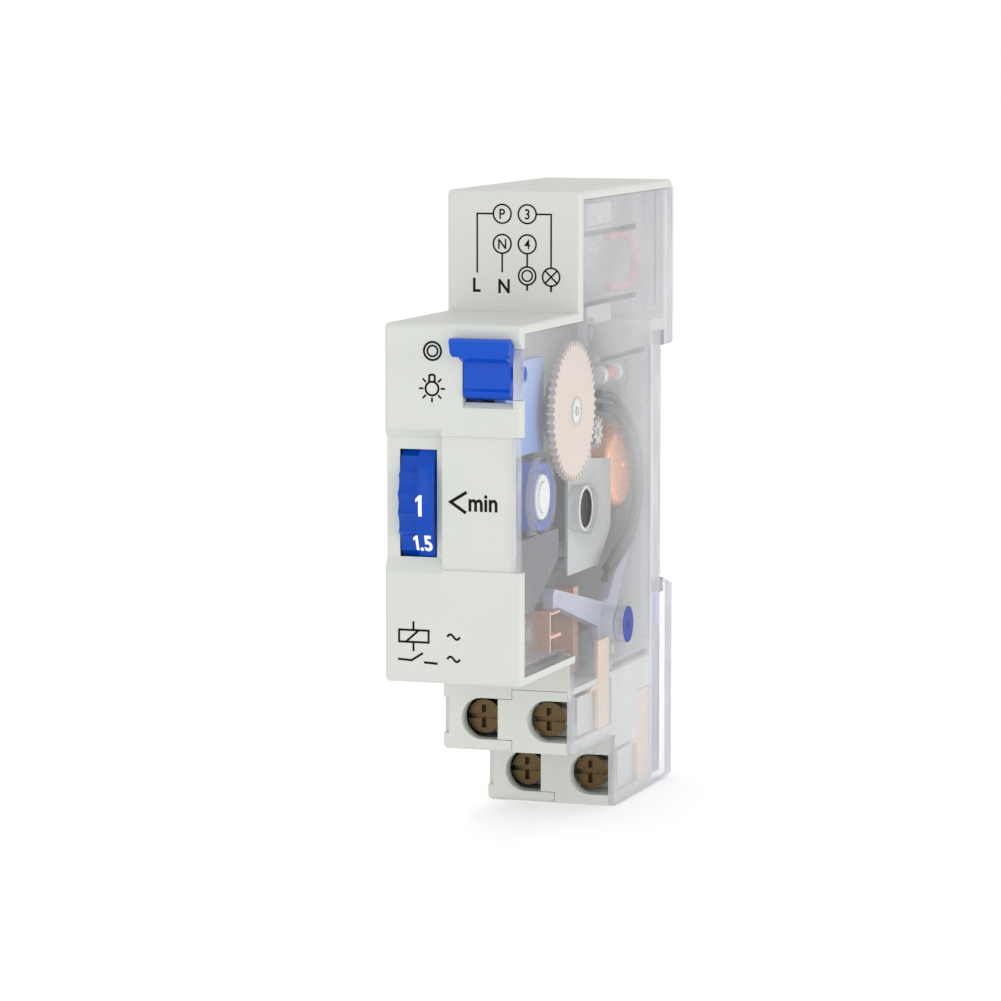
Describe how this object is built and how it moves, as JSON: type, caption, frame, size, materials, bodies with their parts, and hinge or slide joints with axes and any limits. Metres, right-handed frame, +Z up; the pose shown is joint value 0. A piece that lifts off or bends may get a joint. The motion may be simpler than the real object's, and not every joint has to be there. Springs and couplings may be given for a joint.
{
  "type": "din rail timer",
  "caption": "Slim rail-mounted stairwell timer: stepped casing with a clear side, selector rocker, thumbwheel, geared motor, contacts, screw terminals and a sprung rail clip.",
  "frame": {"origin": "middle of the face that seats on the rail", "axes": "+Z up the panel, -Y out of the panel towards the user, +X to the user's right across the module's width"},
  "size_m": [0.018, 0.0685, 0.082],
  "materials": {
    "housing_plastic": "fine satin moulding",
    "clear_plastic": "clear moulding",
    "rocker_blue": "satin",
    "slide_blue": "satin",
    "wheel_blue": "satin",
    "white_plastic": "satin",
    "gear_cream": "moulded nylon",
    "black_plastic": "gloss",
    "magnet": "sintered",
    "arbor_steel": "turned",
    "stator_steel": "pressed sheet",
    "winding": "enamelled copper wire",
    "black_lead": "matte sleeve",
    "red_lead": "satin sleeve",
    "component_pink": "lacquer",
    "component_white": "ceramic",
    "copper": "rolled strip",
    "contact_silver": "polished",
    "insulator": "pressed board",
    "screw_brass": "turned",
    "clamp_steel": "zinc plated",
    "bar_brass": "rolled strip"
  },
  "bodies": {
    "housing": {"bus_bar_left_lower": "bar_brass", "bus_bar_left_upper": "bar_brass", "bus_bar_right_lower": "bar_brass", "bus_bar_right_upper": "bar_brass", "clip_spring": "arbor_steel", "coil_bobbin": "white_plastic", "coil_lead_inner": "black_lead", "coil_lead_outer": "black_lead", "coil_winding": "winding", "detent_spring": "arbor_steel", "fixed_contact": "contact_silver", "fixed_contact_plate": "copper", "head_lead": "red_lead", "insulator_plate": "insulator", "leaf_anchor": "copper", "main_housing": "housing_plastic", "movement_plate": "stator_steel", "side_cover": "clear_plastic", "spacer_posts": "arbor_steel", "stator_plate": "stator_steel", "stator_yoke": "stator_steel", "suppressor_body": "component_pink", "suppressor_ends": "component_white", "terminal_carrier": "housing_plastic", "wheel_axle": "white_plastic"},
    "rocker": {"selector_rocker": "rocker_blue"},
    "slide": {"selector_slide": "slide_blue"},
    "wheel": {"time_wheel": "wheel_blue", "wheel_bush": "clear_plastic"},
    "rotor": {"rotor_shaft": "arbor_steel", "rotor_magnet": "magnet", "rotor_cap": "black_plastic"},
    "first": {"first_wheel": "gear_cream", "first_arbor": "arbor_steel"},
    "second": {"second_wheel": "gear_cream", "second_arbor": "arbor_steel"},
    "main": {"main_gear": "gear_cream", "main_arbor": "arbor_steel", "cam_disc": "gear_cream"},
    "lever": {"contact_lever": "rocker_blue"},
    "leaf": {"moving_leaf": "copper", "moving_contact": "contact_silver"},
    "clip": {"din_clip": "wheel_blue"},
    "screw_left_upper": {"screw_left_upper": "screw_brass"},
    "clamp_left_upper": {"clamp_left_upper": "clamp_steel"},
    "screw_right_upper": {"screw_right_upper": "screw_brass"},
    "clamp_right_upper": {"clamp_right_upper": "clamp_steel"},
    "screw_left_lower": {"screw_left_lower": "screw_brass"},
    "clamp_left_lower": {"clamp_left_lower": "clamp_steel"},
    "screw_right_lower": {"screw_right_lower": "screw_brass"},
    "clamp_right_lower": {"clamp_right_lower": "clamp_steel"}
  },
  "joints": [
    {"name": "selector_turn", "type": "hinge", "parent": "housing", "child": "rocker", "pos_m": [0, -0.0583, 0.0164], "axis": [1, 0, 0], "range_deg": [0, 35]},
    {"name": "slide_travel", "type": "slide", "parent": "housing", "child": "slide", "axis": [0, 0, 1], "range_m": [0, 0.00348]},
    {"name": "wheel_turn", "type": "hinge", "parent": "housing", "child": "wheel", "pos_m": [0, -0.0474, 0], "axis": [1, 0, 0], "range_deg": [-254.2, 0]},
    {"name": "rotor_spin", "type": "hinge", "parent": "housing", "child": "rotor", "pos_m": [0, -0.028, -0.0035], "axis": [1, 0, 0], "continuous": true},
    {"name": "first_spin", "type": "hinge", "parent": "housing", "child": "first", "pos_m": [0, -0.02098, -0.00087], "axis": [1, 0, 0], "continuous": true},
    {"name": "second_spin", "type": "hinge", "parent": "housing", "child": "second", "pos_m": [0, -0.02375, 0.0061], "axis": [1, 0, 0], "continuous": true},
    {"name": "main_spin", "type": "hinge", "parent": "housing", "child": "main", "pos_m": [0, -0.0336, 0.0097], "axis": [1, 0, 0], "continuous": true},
    {"name": "lever_rock", "type": "hinge", "parent": "housing", "child": "lever", "pos_m": [0, -0.0148, -0.0203], "axis": [1, 0, 0], "range_deg": [0, 1.5], "stiffness_Nm_per_rad": 0.05, "springref_deg": -1.15},
    {"name": "leaf_bend", "type": "hinge", "parent": "housing", "child": "leaf", "pos_m": [0, -0.024, -0.016], "axis": [1, 0, 0], "range_deg": [0, 2.7]},
    {"name": "clip_pull", "type": "slide", "parent": "housing", "child": "clip", "axis": [0, 0, 1], "range_m": [-0.003, 0], "stiffness_N_per_m": 600, "springref_m": 0.002, "deforming": ["clip_spring"]},
    {"name": "turn_screw_left_upper", "type": "hinge", "parent": "housing", "child": "screw_left_upper", "pos_m": [-0.00405, 0, -0.0302], "axis": [0, 1, 0], "range_deg": [0, 1261]},
    {"name": "lift_clamp_left_upper", "type": "slide", "parent": "housing", "child": "clamp_left_upper", "axis": [0, -1, 0], "range_m": [0, 0.0021]},
    {"name": "turn_screw_right_upper", "type": "hinge", "parent": "housing", "child": "screw_right_upper", "pos_m": [0.0048, 0, -0.0302], "axis": [0, 1, 0], "range_deg": [0, 1261]},
    {"name": "lift_clamp_right_upper", "type": "slide", "parent": "housing", "child": "clamp_right_upper", "axis": [0, -1, 0], "range_m": [0, 0.0021]},
    {"name": "turn_screw_left_lower", "type": "hinge", "parent": "housing", "child": "screw_left_lower", "pos_m": [-0.00405, 0, -0.0399], "axis": [0, 1, 0], "range_deg": [0, 1261]},
    {"name": "lift_clamp_left_lower", "type": "slide", "parent": "housing", "child": "clamp_left_lower", "axis": [0, -1, 0], "range_m": [0, 0.0021]},
    {"name": "turn_screw_right_lower", "type": "hinge", "parent": "housing", "child": "screw_right_lower", "pos_m": [0.0048, 0, -0.0399], "axis": [0, 1, 0], "range_deg": [0, 1261]},
    {"name": "lift_clamp_right_lower", "type": "slide", "parent": "housing", "child": "clamp_right_lower", "axis": [0, -1, 0], "range_m": [0, 0.0021]}
  ],
  "couplings": [
    {"joint": "selector_turn", "follows": "slide_travel", "rad_per_m": 175.13},
    {"joint": "first_spin", "follows": "rotor_spin", "ratio": -0.25},
    {"joint": "second_spin", "follows": "rotor_spin", "ratio": 0.0625},
    {"joint": "main_spin", "follows": "rotor_spin", "ratio": -0.0125},
    {"joint": "leaf_bend", "follows": "lever_rock", "ratio": 1.8},
    {"joint": "turn_screw_left_upper", "follows": "lift_clamp_left_upper", "rad_per_m": 10472},
    {"joint": "turn_screw_right_upper", "follows": "lift_clamp_right_upper", "rad_per_m": 10472},
    {"joint": "turn_screw_left_lower", "follows": "lift_clamp_left_lower", "rad_per_m": 10472},
    {"joint": "turn_screw_right_lower", "follows": "lift_clamp_right_lower", "rad_per_m": 10472}
  ]
}
